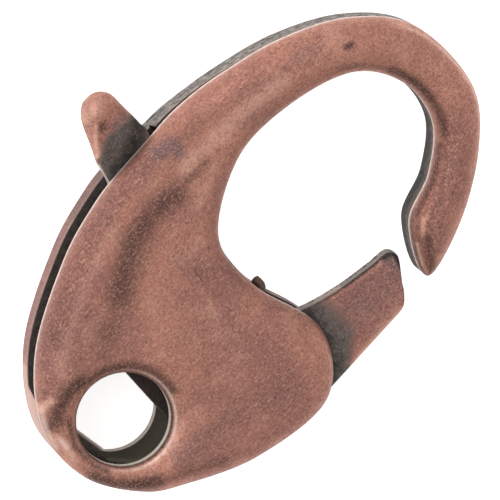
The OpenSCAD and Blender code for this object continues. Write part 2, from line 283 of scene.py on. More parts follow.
# %% Stations along the band
EYE_FROM, EYE_TO, HOOK_FROM, TIP_FROM = 0.12, 3.2, 8, 14
stations = np.concatenate([
    np.linspace(0, EYE_FROM, 9)[:-1],
    np.linspace(EYE_FROM, EYE_TO, 131)[:-1],
    np.linspace(EYE_TO, HOOK_FROM, 161)[:-1],
    np.linspace(HOOK_FROM, TIP_FROM, 180)[:-1],
    LAST - (LAST - TIP_FROM) * np.linspace(1, 0.1, 46) ** 2])
print("stations:", len(stations))
round_eye = (stations >= EYE_FROM - 1e-9) & (stations <= EYE_TO + 1e-9)
eye_share = (stations - EYE_FROM) / (EYE_TO - EYE_FROM)
EYE_BACK_ANGLE, EYE_REJOIN = 190, 1.2
BACK_CROWDING, GATE_CROWDING = 1.4, 1.5
THROAT_LEAN, LEAN_AT, LEAN_REACH = 0.9, 5.4, 1.1


def middle_lines(a, b, collar_r):
    """The line down the middle of the band, for each half of the loft. Round the eye the halves part,
    and each follows its own side of a ring of radius collar_r. At the throat the line leans into the
    body by a bell curve, so that no cross line leaves the hollow outline."""
    share = np.clip(eye_share, 0, 1)
    angles = np.radians([EYE_BACK_ANGLE * (1 - share ** BACK_CROWDING),
                         EYE_BACK_ANGLE + (360 - EYE_BACK_ANGLE) * share ** GATE_CROWDING])
    rings = collar_r * np.stack([np.cos(angles), np.sin(angles)], -1)
    before = (stations / EYE_FROM).clip(0, 1)[:, None]
    centre = (a + b) / 2
    centre[:, 0] -= THROAT_LEAN * np.exp(-((stations - LEAN_AT) / LEAN_REACH) ** 2)
    after = smooth((stations - EYE_TO) / EYE_REJOIN)[:, None]
    lines = []
    for ring in rings:
        line = np.where(stations[:, None] < EYE_FROM, centre[0] + before * (ring[0] - centre[0]), ring)
        lines.append(np.where(stations[:, None] > EYE_TO, ring[-1] + after * (centre - ring[-1]), line))
    return lines


# %% Skins of a shell
WIDEST_BAND = 0.6


def half_loft(edge, middle, width, n_band, n_face):
    """Plan points from an edge to the middle line. Over the rounded edge they stand at 1 minus the cosine
    of even angles, so that a quarter circle gets even steps, and after it they are evenly spaced."""
    span = np.linalg.norm(middle - edge, axis=1)
    band = np.minimum(width / np.maximum(span, 1e-9), WIDEST_BAND)[:, None]
    turn = 1 - np.cos(np.linspace(0, np.pi / 2, n_band))
    face = np.linspace(0, 1, n_face + 1)[1:]
    shares = np.concatenate([band * turn, band + (1 - band) * face], 1)
    return edge[:, None] + shares[..., None] * (middle - edge)[:, None]


def skin_patches(a, b, eye_r, collar_r, width, counts, height, marks, flip):
    """One skin of a shell: two half lofts, and a collar of rings that close up towards the eye's edge.
    The height of each point comes from its plan place and its distance to the outline."""
    outline = np.vstack([a[::-1], b[1:]])
    mid_a, mid_b = middle_lines(a, b, collar_r)
    ring = np.vstack([mid_a[round_eye], mid_b[round_eye][::-1][1:-1]])
    radii = eye_r + (collar_r - eye_r) * np.linspace(1, 0, counts[2])[:, None, None] ** 2
    collar = radii * (ring / collar_r)
    patches = []
    for plan, turned, closed in ((half_loft(a, mid_a, width, *counts[:2]), flip, False),
                                 (half_loft(b, mid_b, width, *counts[:2]), not flip, False),
                                 (collar, not flip, True)):
        distance = distance_to(plan, outline)
        z = height(plan, distance)
        patches.append((np.concatenate([plan, z[..., None]], -1), marks(plan, distance), turned, closed))
    return patches


# %% Rim of a shell
def rim_patches(outer, inner, z_outer, z_inner, z_rim, direction, look, paint):
    """The band between the skins: wall, quarter circle, flat rim, quarter circle and inner wall. look
    gives each row's polish, which the material paints as a near white highlight, and how far inside it
    lies, and the paint fades out with the second."""
    towards = inner - outer
    span = np.linalg.norm(towards, axis=1, keepdims=True)
    towards = towards / np.maximum(span, 1e-9)
    bend = np.minimum(RIM_R, span / 3)
    turns = np.linspace(0, np.pi / 2, 5)
    rows = []
    for share in (0, 0.5):
        rows.append((outer, z_outer + share * (z_rim - z_outer)))
    for turn in turns:
        z_turn = z_rim + direction * RIM_R * (1 - np.sin(turn))
        rows.append((outer + bend * towards * (1 - np.cos(turn)), z_turn))
    for turn in turns[::-1]:
        z_turn = z_rim + direction * RIM_R * (1 - np.sin(turn))
        rows.append((inner - bend * towards * (1 - np.cos(turn)), z_turn))
    for share in (0.5, 0):
        rows.append((inner, z_inner + share * (z_rim - z_inner)))
    points = np.stack([np.concatenate([plan, z[:, None]], -1) for plan, z in rows])
    polish, depth = (np.array(values, float) for values in look)
    shape = points.shape[:2]
    marks = {"rim": np.broadcast_to(polish[:, None], shape), "inside": np.broadcast_to(depth[:, None], shape)}
    for name, lines in paint.items():
        marks[name] = (1 - depth[:, None]) * strokes(outer, lines)
    return [(points, marks, direction < 0, True)]


# %% [markdown]
# ## A whole shell
# A shell is an outer skin, an inner skin one sheet's thickness further in, the rim between them and
# the bore of the eye. Solidify could make the inner skin, but here it also has to stop short in the
# hook's narrow tip, so it gets stations of its own. The finish is laid on in the same step.

# %% Whole shell
CAVITY_BEND, CAVITY_SHARE, LEAST_RISE = 12, 0.63, 0.1
HOOK_LAP, LAP_AT, LAP_REACH = 0.045, 10.2, 1.2
COLLAR_R, INNER_COLLAR_W = 1.2, 0.03
OUTER_COUNTS, INNER_COUNTS = (15, 19, 14), (6, 7, 5)
# The first direction points to the side of the eye whose lip faces the key lamp, where a painted highlight
# lies a little out from the edge; a band of painted shade lies right at the edge.
LIT_LIP_SIDE = np.array([0.67, -0.74])
LIP_LINE, LIP_LINE_W, LIP_SHADE_W = 0.08, 0.028, 0.035


def make_shell(name, direction, depth, wall, width, eye_r, base, rim_a, rim_b, rim_look, paint, extra=()):
    """A whole shell. direction is 1 for the front shell, which rises from its rim, and -1 for the rear
    one. rim_a and rim_b give the rim's height along the back and along the gate side."""
    s_in = np.where(stations < CAVITY_BEND, stations, CAVITY_BEND + (stations - CAVITY_BEND) * CAVITY_SHARE)
    # The front shell's edge laps a little over the rear one at the top of the hook.
    lap = (direction > 0) * HOOK_LAP * np.exp(-((stations - LAP_AT) / LAP_REACH) ** 2)[:, None]
    a, b = inset_side(BACK, GATE_SIDE, stations, -lap, 1), side(GATE_SIDE, BACK, stations)
    a_in = inset_side(BACK, GATE_SIDE, s_in, SHEET, 1)
    b_in = inset_side(GATE_SIDE, BACK, s_in, SHEET, -1)
    a_in[0] = b_in[0] = (a_in[0] + b_in[0]) / 2
    b[-1] = a[-1] = (a[-1] + b[-1]) / 2
    a_in[-1] = b_in[-1] = (a_in[-1] + b_in[-1]) / 2
    wall_in = min(wall, depth - SHEET - LEAST_RISE)
    width_in = max(width - SHEET, LEAST_RISE)

    def outer_height(plan, distance):
        """The base, and over it the wall plus the rest of the depth times the dome, less the eye's dip
        and lip."""
        rise = wall + (depth - wall) * dome(distance, width) - eye_dip(plan, eye_r) - lip_drop(plan, eye_r)
        return base(plan[..., 0]) + direction * rise

    def inner_height(plan, distance):
        """The same formula with a depth one sheet's thickness less, and no lip."""
        rise = wall_in + (depth - SHEET - wall_in) * dome(distance, width_in) - eye_dip(plan, eye_r)
        return base(plan[..., 0]) + direction * rise

    def outer_marks(plan, distance):
        """The painted strokes, and beside the eye's edge a bell curve of painted highlight and one of painted
        shade.
        """
        off = np.linalg.norm(plan, axis=-1) - eye_r
        painted = {key: strokes(plan, lines) for key, lines in paint.items()}
        # Painted highlight: the eye's edge is bright on the side whose lip faces the key lamp, with painted
        # shade right at the edge.
        lit_side = smooth((plan @ LIT_LIP_SIDE / (off + eye_r) + 0.4) / 1.4)
        painted["lip"] = (0.08 + 0.42 * lit_side) * np.exp(-((off - LIP_LINE) / LIP_LINE_W) ** 2)
        lip_shade = 0.85 * np.exp(-(np.maximum(off, 0) / LIP_SHADE_W) ** 2)
        painted["dark"] = np.maximum(painted.get("dark", 0.0), lip_shade)
        return painted

    def inner_marks(plan, distance):
        """Inside everywhere, and painted light on the inside near the eye, where light comes in through it: 1
        there, easing to 0 half a millimetre further out.
        """
        rho = np.linalg.norm(plan, axis=-1)
        return {"inside": 1.0, "hollow": 1 - smooth((rho - 1.3) / 0.5)}

    outer = skin_patches(a, b, eye_r, COLLAR_R, width, OUTER_COUNTS, outer_height, outer_marks, direction < 0)
    inner = skin_patches(a_in, b_in, eye_r, eye_r + INNER_COLLAR_W, width_in, INNER_COUNTS, inner_height,
                         inner_marks, direction > 0)
    lip_out, lip_in = outer[2][0][-1], inner[2][0][-1]
    shares = np.linspace(0, 1, 13)[:, None, None]
    hole = lip_out + shares * (lip_in - lip_out)
    # The bore's middle band is its sheared wall, brightened near white as a painted highlight, and its outer
    # edge gets half the lip's painted highlight.
    sheared_and_lit = smooth((shares[..., 0] - 0.1) / 0.1) * (1 - smooth((shares[..., 0] - 0.75) / 0.15))
    hole_marks = {"lip": np.broadcast_to(0.5 * (shares[..., 0] == 0), hole.shape[:2]), "inside": 0.9,
                  "bore": np.broadcast_to(sheared_and_lit, hole.shape[:2])}
    outer_loop = np.vstack([a, b[::-1][1:-1]])
    inner_loop = np.vstack([a_in, b_in[::-1][1:-1]])
    z_rim = np.concatenate([rim_a(a[:, 0], stations), rim_b(b[:, 0], stations)[::-1][1:-1]])
    z_rim_out = outer_height(outer_loop, np.zeros(len(outer_loop)))
    z_rim_in = inner_height(inner_loop, np.zeros(len(inner_loop)))
    rims = rim_patches(outer_loop, inner_loop, z_rim_out, z_rim_in, z_rim, direction, rim_look, paint)
    node = name.replace("_skin", "")
    bore = (hole, hole_marks, direction < 0, True)
    return make_piece(name, outer + inner + rims + [bore] + list(extra), "case", (node,))


# %% [markdown]
# ## Plates and smooth lines
# The lever and the small flanges are flat stock: a top grid, a bottom grid and a band round their
# edge. Where the strip is folded double, the band is pushed inwards between two lips, which leaves
# a real slit. Lines drawn through a few points give the plan shapes.

# %% Plate helper
SLIT = 0.07


def perimeter(grid):
    """Grid values round its four sides, as one closed loop."""
    return np.concatenate([grid[0, :-1], grid[:-1, -1], grid[-1, :0:-1], grid[:0:-1, 0]])


def plate_patches(plan, z_top, z_low, groove=None, marks=None, low_plan=None, slit_z=None):
    """Top and bottom grids, and the band between them. groove is how far a slit sinks into the band at
    each point of the perimeter, and slit_z is its height. The bottom grid may have its own plan."""
    marks = marks or {}
    top = np.concatenate([plan, z_top[..., None]], -1)
    low = np.concatenate([plan if low_plan is None else low_plan, z_low[..., None]], -1)
    edge_top, edge_low = perimeter(top), perimeter(low)
    middle = (edge_top + edge_low) / 2
    rows, depth = [edge_top], [0.0]
    if groove is None:
        rows += [middle]
        depth += [0.0]
    else:
        inward = np.roll(middle, -1, 0) - np.roll(middle, 1, 0)
        inward = np.stack([-inward[:, 1], inward[:, 0], 0 * inward[:, 0]], -1)
        inward /= np.maximum(np.linalg.norm(inward, axis=1, keepdims=True), 1e-9)
        if ((plan.mean((0, 1)) - middle[0, :2]) * inward[0, :2]).sum() < 0:
            inward = -inward
        cut = (groove > 0)[:, None]
        for source, lift, share in ((edge_top, 0.5, 0.0), (edge_top, 0.5, 1.0),
                                    (edge_low, -0.5, 1.0), (edge_low, -0.5, 0.0)):
            lip = source.copy()
            lip[:, 2] = slit_z + lift * SLIT
            rows.append(np.where(cut, lip, middle) + share * groove[:, None] * inward)
            depth.append(share)
    rows.append(edge_low)
    depth.append(0.0)
    band = np.stack(rows)
    band_marks = {key: np.broadcast_to(perimeter(np.broadcast_to(value, plan.shape[:2])), band.shape[:2])
                  for key, value in marks.items()}
    # Every edge band also carries a faint near white painted highlight.
    band_marks.update(groove=np.broadcast_to(np.array(depth)[:, None], band.shape[:2]), rim=0.2)
    if groove is not None:
        # Under the slit, the lower sheet's cut edge is tarnished, with a faint near white painted glint.
        under = (np.arange(6) > 2)[:, None] * (groove > 0)
        band_marks.update(tarnish=0.85 * under, pale=0.3 * under)
    return [(top, marks, False, False), (low, marks, True, False), (band, band_marks, False, True)]


# %% Line helpers
def resample(line, count):
    """The line's points again, at even steps of its length, by straight interpolation."""
    line = np.asarray(line, float)
    along = np.concatenate([[0], np.cumsum(np.linalg.norm(np.diff(line, axis=0), axis=1))])
    places = np.linspace(0, along[-1], count)
    return np.stack([np.interp(places, along, line[:, k]) for k in range(line.shape[1])], -1)


def curve_through(points, count):
    """A smooth line through a few points: a Catmull-Rom curve whose ends are mirrored, evenly spaced."""
    points = np.asarray(points, float)
    ends = np.vstack([2 * points[0] - points[1], points, 2 * points[-1] - points[-2]])
    return resample(catmull_rom(ends, np.linspace(0, len(points) - 1, 40 * len(points))), count)


def edge_round(distance, radius):
    """Height lost at a rounded edge: the radius less the height of a quarter circle."""
    gap = np.clip(radius - distance, 0, radius)
    return radius - np.sqrt(radius ** 2 - gap ** 2)


# %% [markdown]
# ## Front shell
# The front shell is the shallower one. It rides high over the body, which leaves room for the
# lever, and steps down to the rear shell's rim along the hook. Its paint is a list of strokes for
# each mark, because the painted reflection of a dark surround over the body, the painted shade in
# arcs beside the eye, the painted highlights round the eye and the painted shade along the hook's
# inner edge are what give this clasp its face.

# %% Front shell
EYE_R = 1.03


def front_base(x):
    """Height of the front shell's rim: the step over the body, plus the seam."""
    return step_up(x) + SEAM


def front_rim(x, s):
    """The rim's height at station s, which for the front shell depends on x alone."""
    return front_base(x)


FRONT_PAINT = {
    # Painted shade and reflection: the first strokes are a painted reflection of a dark surround on the
    # body's crown, then painted shade in arcs round the eye's dip, stripes of painted shade along the hook's
    # inner edge and tip, and painted shade along the gate-side edge and the back margin, where it dims the
    # key lamp's highlight.
    "dark": [
        ([[4.3, 2.56], [4.1, 2.64], [3.58, 2.7], [2.95, 2.58], [2.35, 2.28], [1.8, 1.95]], 0.5, 0.95),
        ([[3.4, 2.5], [2.6, 2.2], [1.75, 1.75], [1.1, 1.63]], 0.42, 0.6),
        ([[1.3, 1.7], [0.7, 1.4]], 0.45, 0.35),
        ([[4.2, 2.6], [4.7, 2.55], [5.3, 2.5]], 0.16, 0.55), ([[9.08, 1.84], [9.2, 1.78]], 0.14, 0.9),
        ([[-1.0, 1.1], [-0.8, 1.25], [-0.4, 1.36], [0.0, 1.32]], 0.3, 1.0),
        ([[-0.92, 1.22], [-1.2, 1.1]], 0.13, 0.9),
        ([[0.0, 1.22], [0.5, 1.12], [0.95, 0.78], [1.2, 0.25], [1.17, -0.3]], 0.2, 0.85),
        ([[-0.8, 0.95], [-1.12, 0.4], [-1.14, -0.2], [-1.05, -0.5]], 0.14, 0.85),
        ([[-1.36, -0.4], [-1.2, -0.83], [-0.88, -1.15], [-0.5, -1.42]], 0.34, 1.0),
        ([[-0.5, -1.5], [0.2, -1.85], [0.8, -2.2]], 0.16, 0.5),
        (gate_line(9.8, 10.6, 0.2, 0.15), 0.13, 0.45), (gate_line(10.6, 11.5, 0.15), 0.18, 1.0),
        (gate_line(11.5, 12.2, 0.15), 0.16, 0.85), (gate_line(12.2, 13.3, 0.18, 0.28), 0.14, 0.4),
        (gate_line(13.3, 14.1, 0.3, 0.36), 0.16, 0.6), (gate_line(14.2, 14.9, 0.3, 0.18), 0.2, 1.0),
        (gate_line(12.4, 13.8, 0.05), 0.08, 0.75), (gate_line(13.7, 14.9, 0.0), 0.06, 0.9),
        (gate_line(12.2, 14.2, 0.35), 0.5, 0.25), (gate_line(0.4, 9.8, 0.0), 0.07, 0.35),
        (back_line(2.2, 5.4, 0.3), 0.34, 0.4)],
    # Plum oxide clouds; the strokes along the back margin and the hook's inner edge are painted shade.
    "plum": [
        ([[0.1, 2.15], [1.0, 2.4], [1.9, 2.6]], 0.45, 0.4),
        ([[5.6, 3.2], [7.2, 2.75], [8.6, 2.3]], 0.3, 0.45),
        ([[0.3, -1.5], [1.3, -1.65], [2.3, -1.8], [3.0, -2.2]], 0.55, 0.5),
        ([[3.4, 1.1], [3.7, 0.5], [3.5, 0.0]], 0.35, 0.3),
        ([[4.65, 3.42], [5.1, 3.28], [5.6, 3.15]], 0.3, 0.5), (back_line(1.9, 5.6, 0.16), 0.34, 0.75),
        (gate_line(12.0, 14.3, 0.35), 0.6, 0.55)],
    "grey": [
        ([[4.68, 3.42], [5.05, 3.28], [5.0, 3.1]], 0.3, 0.95), ([[0.2, -1.4], [1.2, -1.6]], 0.4, 0.25),
        ([[8.2, 2.45], [8.7, 2.3]], 0.25, 0.2)],
    # Pinkish painted highlights over rubbed copper: a band over the body, spots and the lip's ring round the
    # eye, the hook's tip and its top edge.
    "glow": [
        ([[4.9, 2.78], [5.6, 2.68], [6.5, 2.58], [7.6, 2.35]], 0.3, 0.5),
        (back_line(1.8, 3.8, 0.5), 0.2, 0.3),
        ([[-1.0, 1.5], [-0.75, 1.5]], 0.16, 1.0), ([[-1.24, 0.85], [-1.27, 0.55], [-1.36, 0.2]], 0.17, 1.0),
        ([[-1.08, -0.3], [-0.85, -0.7], [-0.3, -1.1], [0.3, -1.15], [0.8, -0.95]], 0.12, 0.45),
        (gate_line(13.8, 14.2, 0.2), 0.08, 0.9), (gate_line(14.3, 14.8, 0.07), 0.06, 0.9),
        (back_line(10.6, 13.2, 0.05), 0.1, 0.3)],
    # Near white painted glints at the hook's tip and top edge, the ring end and the eye's left side.
    "pale": [(gate_line(14.3, 14.65, 0.06), 0.03, 0.3), (back_line(10.8, 12.6, 0.05), 0.04, 0.2),
             (back_line(0.7, 1.3, 0.05), 0.08, 0.25), ([[-1.22, 0.75], [-1.26, 0.55]], 0.1, 0.35)]}
# Each rim row's polish, painted as a near white highlight along the front shell's edge, and how far inside it
# lies.
FRONT_LOOK = ([0, 0.45, 1, 1, 1, 1, 0.7] + [0.2] * 7, [0] * 7 + [0.8] + [1] * 6)
front = make_shell("front_shell_skin", 1, depth=0.75, wall=0.2, width=0.55, eye_r=EYE_R, base=front_base,
                   rim_a=front_rim, rim_b=front_rim, rim_look=FRONT_LOOK, paint=FRONT_PAINT)

# %% [markdown]
# ## Rear shell
# The rear shell is a deep tray. Its rim meets the front shell's except in two places where the
# lever swings: the long slot for the thumb tab, and the throat for the gate. Cutting those openings
# with a boolean would leave long, thin faces, so the rim's height itself is lower there. Two small
# folds of the same sheet show through its eye.

# %% Rear rim
SLOT_TAPER_END, SLOT_TAPER_H = 8.6, 0.2


def rear_rim(x, low):
    """The rim's height: the front shell's rim where low is 0, and the low rim where it is 1."""
    return (1 - low) * step_up(x) - low * LOW_RIM


def rear_rim_back(x, s):
    """The slot's low rim, and after it a slowly narrowing seam."""
    taper = SLOT_TAPER_H * np.clip((SLOT_TAPER_END - s) / (SLOT_TAPER_END - SLOT[1]), 0, 1) * (s > SLOT[1])
    return rear_rim(x, opened(s, SLOT)) - taper


def rear_rim_gate(x, s):
    """The throat's low rim."""
    return rear_rim(x, opened(s, THROAT))


print("slot and throat at stations", SLOT, THROAT, "with a low rim at", -LOW_RIM, "mm")

# %% Tongue and flange in the eye
# The slug of the rear eye stays on as a tongue, folded back over the raised lip.
TONGUE_HALF_W, TONGUE_FOLD_X, TONGUE_END_X, TONGUE_LEAN = 1.12, 0.72, 1.6, 0.096
TONGUE_TOP, TONGUE_LOW, TONGUE_ROUND = -0.2, -0.42, 0.05
tongue_along = np.linspace(0, 1, 30)[:, None]
tongue_across = np.linspace(-TONGUE_HALF_W, TONGUE_HALF_W, 40)
fold_lean = TONGUE_LEAN * tongue_across[None]
tongue_x = TONGUE_FOLD_X + fold_lean + tongue_along * (TONGUE_END_X - TONGUE_FOLD_X - fold_lean)
tongue_plan = np.stack([tongue_x, np.broadcast_to(tongue_across, tongue_x.shape)], -1)
tongue_edge = edge_round(tongue_x - tongue_x[:1], TONGUE_ROUND)
tongue = plate_patches(tongue_plan, TONGUE_TOP - tongue_edge, TONGUE_LOW + tongue_edge, None,
                       {"inside": 0.95})

# At the ring end a flange of the rear sheet curls up inside, and cuts the eye off with a chord.
FLANGE_X, FLANGE_LEAN, FLANGE_MID_Y, FLANGE_REACH = -0.855, 0.095, 0.17, 0.32
FLANGE_Z, FLANGE_RISE, FLANGE_T = -0.46, 0.4, 0.08
flange_up, flange_along = np.linspace(0, 1, 24)[:, None], np.linspace(-0.7, 0.5, 40)
flange_x = FLANGE_X + FLANGE_LEAN * (FLANGE_MID_Y - flange_along[None]) - FLANGE_REACH * flange_up
flange_plan = np.stack([flange_x, np.broadcast_to(flange_along, flange_x.shape)], -1)
flange_z = FLANGE_Z + FLANGE_RISE * flange_up ** 2 + 0 * flange_x
# Near its low edge the flange carries a near white painted highlight, and higher up it turns to dark oxide.
flange_marks = {"bath": 1.0, "inside": np.broadcast_to(smooth((flange_up - 0.3) / 0.5), flange_x.shape),
                "pale": np.broadcast_to(1 - smooth(flange_up / 0.25), flange_x.shape)}
flange = plate_patches(flange_plan, flange_z, flange_z - FLANGE_T, None, flange_marks)
print("tongue", tongue_plan.shape[:2], "and flange", flange_plan.shape[:2], "points")

# %% Rear shell
REAR_EYE_R = 0.99
# The rim rows get a faint near white painted highlight. The plum and dark strokes on the back wall are oxide
# and painted shade, the near white stroke at the ring end and the pinkish ones are painted highlights,
# tarnish is the walls' oxide, and the deep stroke along the hook's inner wall is oxide and painted shade.
REAR_LOOK = ([0, 0, 0.1, 0.2, 0.1] + [0] * 9, [0, 0, 0.1, 0.2, 0.5, 0.9] + [1] * 8)
REAR_PAINT = {
    "plum": [(back_line(1.9, 6.6, 0.0), 0.3, 1.0)], "dark": [(back_line(3.6, 6.2, 0.0), 0.25, 0.6)],
    "pale": [(back_line(0.1, 1.7, 0.1), 0.2, 0.45)],
    "tarnish": [(back_line(6.1, 15.0, 0.0), 0.18, 1.0), (gate_line(3.9, 15.0, 0.0), 0.18, 0.95)],
    "deep": [(gate_line(9.9, 15.0, 0.0), 0.2, 1.0)],
    "glow": [(gate_line(0.6, 3.6, 0.25), 0.2, 0.3), (back_line(7, 13, 0.3), 0.2, 0.3)]}

rear = make_shell("rear_shell_skin", -1, depth=1.0, wall=0.65, width=0.35, eye_r=REAR_EYE_R,
                  base=lambda x: 0 * x, rim_a=rear_rim_back, rim_b=rear_rim_gate, rim_look=REAR_LOOK,
                  paint=REAR_PAINT, extra=tongue + flange)

# %% [markdown]
# ## The lever
# The lever is one strip folded double and pressed flat. Its fold is the gate's outer edge, and the two
# cut edges lie together along the inner edge, where they leave a hairline slit. The gate's grid runs
# from its inner edge across to the fold, and its plan lines are drawn through a few points each.

# %% Gate shape
LEVER_T, LEVER_LOW = 0.44, -0.06
LEVER_MID = LEVER_LOW + LEVER_T / 2
FOLD_R = LEVER_T / 2
FOLD_Y = at([0, -46.7])[1]
FOLD_SHARE, TOP_EDGE_R, LOW_EDGE_R = 0.98, 0.1, 0.05
SLIT_DEPTH, SLIT_LIFT, PROUD = 0.14, 0.07, 0.02
gate_inner = np.vstack([
    curve_through([at([43.0, -16.6]), [4.36, -1.53], [5.2, -1.81], [6.04, -1.985]], 60),
    curve_through([[6.22, -2.0], [6.4, -2.03], [6.49, -2.1], [6.53, -2.2], [6.51, -2.31], [6.40, -2.47]],
                  24)])
gate_outer = np.vstack([
    resample([[3.5, FOLD_Y], [5.42, FOLD_Y]], 60),
    curve_through([[5.62, FOLD_Y + 0.005], [5.80, -3.12], [5.95, -3.0], [6.14, -2.79]], 20)])
across = (1 - np.cos(np.linspace(0, np.pi, 41))) / 2
gate_inner, gate_outer = resample(gate_inner, 120), resample(gate_outer, 120)
gate_plan = gate_inner[:, None] + across[None, :, None] * (gate_outer - gate_inner)[:, None]
open_edge = np.vstack([gate_inner, gate_outer[-1:]])
to_open = distance_to(gate_plan, open_edge)
to_fold = gate_plan[..., 1] - FOLD_Y
gate_top_half = FOLD_R - edge_round(to_open, TOP_EDGE_R) - edge_round(to_fold, FOLD_R) * FOLD_SHARE
gate_low_half = FOLD_R - edge_round(to_open, LOW_EDGE_R) - edge_round(to_fold, FOLD_R) * FOLD_SHARE
gate_groove = perimeter(np.where((to_open < 1e-6), SLIT_DEPTH, 0.0))
# The lower sheet stands a little proud of the upper one along the open edge.
gate_ahead = np.gradient(gate_inner, axis=0)
gate_ahead /= np.linalg.norm(gate_ahead, axis=1, keepdims=True)
gate_left = np.stack([-gate_ahead[:, 1], gate_ahead[:, 0]], -1)[:, None]
proud_share = (1 - smooth(across / 0.25)) * smooth((gate_outer[:, None, 0] - 3.6) / 0.4)
gate_low_plan = gate_plan + PROUD * proud_share[..., None] * gate_left
print("gate", round(float(np.ptp(gate_plan[..., 0])), 2), "mm long and", LEVER_T, "mm thick")

# %% Gate
# The end under the shells was never rubbed, so the bath mark covers it up to a slanting line.
bath = smooth((4.95 - gate_plan[..., 0] - 1.2 * np.clip(-2.6 - gate_plan[..., 1], 0, 1)) / 0.4)
# Painted shade along the inner edge's slit, in a dark edge and a wedge at the tip, beside the oxide where the
# gate leaves the body; plum and grey are oxide, and a pinkish painted highlight lies along the fold.
gate_paint = {
    "dark": [(gate_inner[30:], 0.07, 0.9), ([[6.3, -2.62], [5.85, -3.1]], 0.05, 0.6)],
    "deep": [(gate_inner[60:], 0.03, 1.0),
             ([[6.3, -2.05], [6.46, -2.1], [6.5, -2.2], [6.43, -2.42]], 0.1, 1.0),
             ([[4.28, -1.6], [4.2, -2.1], [3.95, -2.6], [3.7, -3.0]], 0.34, 0.85)],
    "plum": [([[4.6, -2.2], [6.2, -2.5]], 0.9, 0.5)],
    "grey": [([[5.1, -2.3], [6.2, -2.5]], 0.7, 0.5), ([[6.34, -2.15], [6.36, -2.4]], 0.3, 1.0)],
    "glow": [([[4.2, -3.16], [5.7, -3.1]], 0.22, 0.45)]}
gate_marks = {key: strokes(gate_plan, lines) for key, lines in gate_paint.items()}
gate_marks["bath"] = bath
gate_plates = plate_patches(gate_plan, LEVER_MID + gate_top_half, LEVER_MID - gate_low_half, gate_groove,
                            gate_marks, gate_low_plan, LEVER_MID + SLIT_LIFT)
gate = make_piece("lever_gate", gate_plates, "lever", ("lever",))

# %% [markdown]
# ## The arm and the thumb tab
# The same strip runs on past the pivot and out through the slot. Its end is pressed into a rounded
# tab for the thumb, thick in the middle, with a dimple near the top and a low ridge down its face.
# One grid carries all of it: the flat section turns into the domed one by a share along the arm.

# %% Arm and thumb tab
TAB_TOP, TAB_LOW, TAB_ROUND, TAB_Z = 0.44, 0.30, 0.42, 0.12
RIDGE_H, RIDGE_W, FALL_H, DIMPLE_H, DIMPLE_R = 0.03, 0.07, 0.12, 0.05, 0.09
ARM_EDGE_R = 0.06
arm_left = curve_through([[2.06, -1.2], [2.08, -0.5], [2.37, 1.02], [3.44, 3.4], [3.63, 3.99], [3.84, 4.43],
                          [4.06, 4.88], [4.23, 5.09], [4.41, 5.2]], 150)
arm_right = curve_through([[3.50, -1.2], [3.36, -0.8], [3.46, 0.2], [3.70, 1.36], [4.80, 3.5], [4.90, 3.95],
                           [4.93, 4.5], [4.94, 4.88], [4.80, 5.11], [4.60, 5.2]], 150)
arm_across = (1 - np.cos(np.linspace(0, np.pi, 49))) / 2
arm_plan = arm_left[:, None] + arm_across[None, :, None] * (arm_right - arm_left)[:, None]
arm_outline = np.vstack([arm_left, arm_right[::-1]])
to_edge = distance_to(arm_plan, arm_outline)
tab_share = smooth((arm_plan[..., 1] - 3.55) / 0.9)
tab_dome = np.sqrt(1 - (1 - np.clip(to_edge / TAB_ROUND, 0, 1)) ** 2)
flat_half = FOLD_R - edge_round(to_edge, ARM_EDGE_R)
arm_top = LEVER_MID + flat_half * (1 - tab_share) + tab_share * (TAB_Z + TAB_TOP * tab_dome)
arm_low = LEVER_MID - flat_half * (1 - tab_share) + tab_share * (TAB_Z - TAB_LOW * tab_dome)
# A ridge runs down the tab's face. The face falls away on its right, and a dimple sits at its top.
ridge = np.array([[4.22, 4.72], [4.06, 4.58], [3.72, 4.12], [3.55, 3.8]])
ridge_right = np.clip((arm_plan[..., 0] - 4.06) * 0.8 - (arm_plan[..., 1] - 4.58) * 0.6, 0, 1)
to_dimple = np.linalg.norm(arm_plan - [4.30, 4.62], axis=-1)
arm_top = arm_top + tab_share * (RIDGE_H * np.exp(-(distance_to(arm_plan, ridge) / RIDGE_W) ** 2)
                                 - FALL_H * smooth(ridge_right / 0.5) * tab_dome
                                 - DIMPLE_H * np.exp(-(to_dimple / DIMPLE_R) ** 2))
print("tab", round(float(arm_top.max() - arm_low.min()), 2), "mm thick")

# %% Arm
# Painted shade in the dimple, at the ridge's foot and along the tab's base by the shell; pinkish painted
# highlights along the ridge and over the top, and a near white one on the left edge; plum, grey and bath are
# oxide.
arm_paint = {
    "dark": [([[4.27, 4.58], [4.32, 4.62]], 0.17, 1.0), ([[3.71, 4.1], [3.73, 4.13]], 0.06, 0.95)],
    "deep": [([[3.45, 3.45], [4.2, 3.62], [5.0, 4.05]], 0.38, 0.9)],
    "plum": [([[4.8, 4.5], [4.2, 4.5]], 0.3, 0.6)], "grey": [([[4.8, 4.38], [4.5, 4.4]], 0.16, 0.9)],
    "glow": [(ridge[:3], 0.08, 0.8), ([[4.2, 5.0], [4.6, 5.0]], 0.28, 0.5)],
    "bath": [([[4.95, 3.95], [4.5, 4.02], [4.2, 4.1], [3.88, 3.85]], 0.42, 1.0),
             ([[4.95, 3.7], [4.4, 3.5], [3.7, 3.6]], 0.4, 1.0)],
    "pale": [([[3.62, 4.02], [3.46, 3.5]], 0.07, 0.9)]}
arm_marks = {key: strokes(arm_plan, lines) for key, lines in arm_paint.items()}
arm_marks["bath"] = smooth(arm_marks["bath"] / 0.45)
arm = make_piece("lever_arm", plate_patches(arm_plan, arm_top, arm_low, None, arm_marks), "lever")

# %% [markdown]
# ## The hub and its barrel
# The lever turns on a barrel drawn out of the strip, with a flat hub round it. Both are turned parts,
# so one profile of radius and height is carried round the pivot, as the Screw modifier would do.

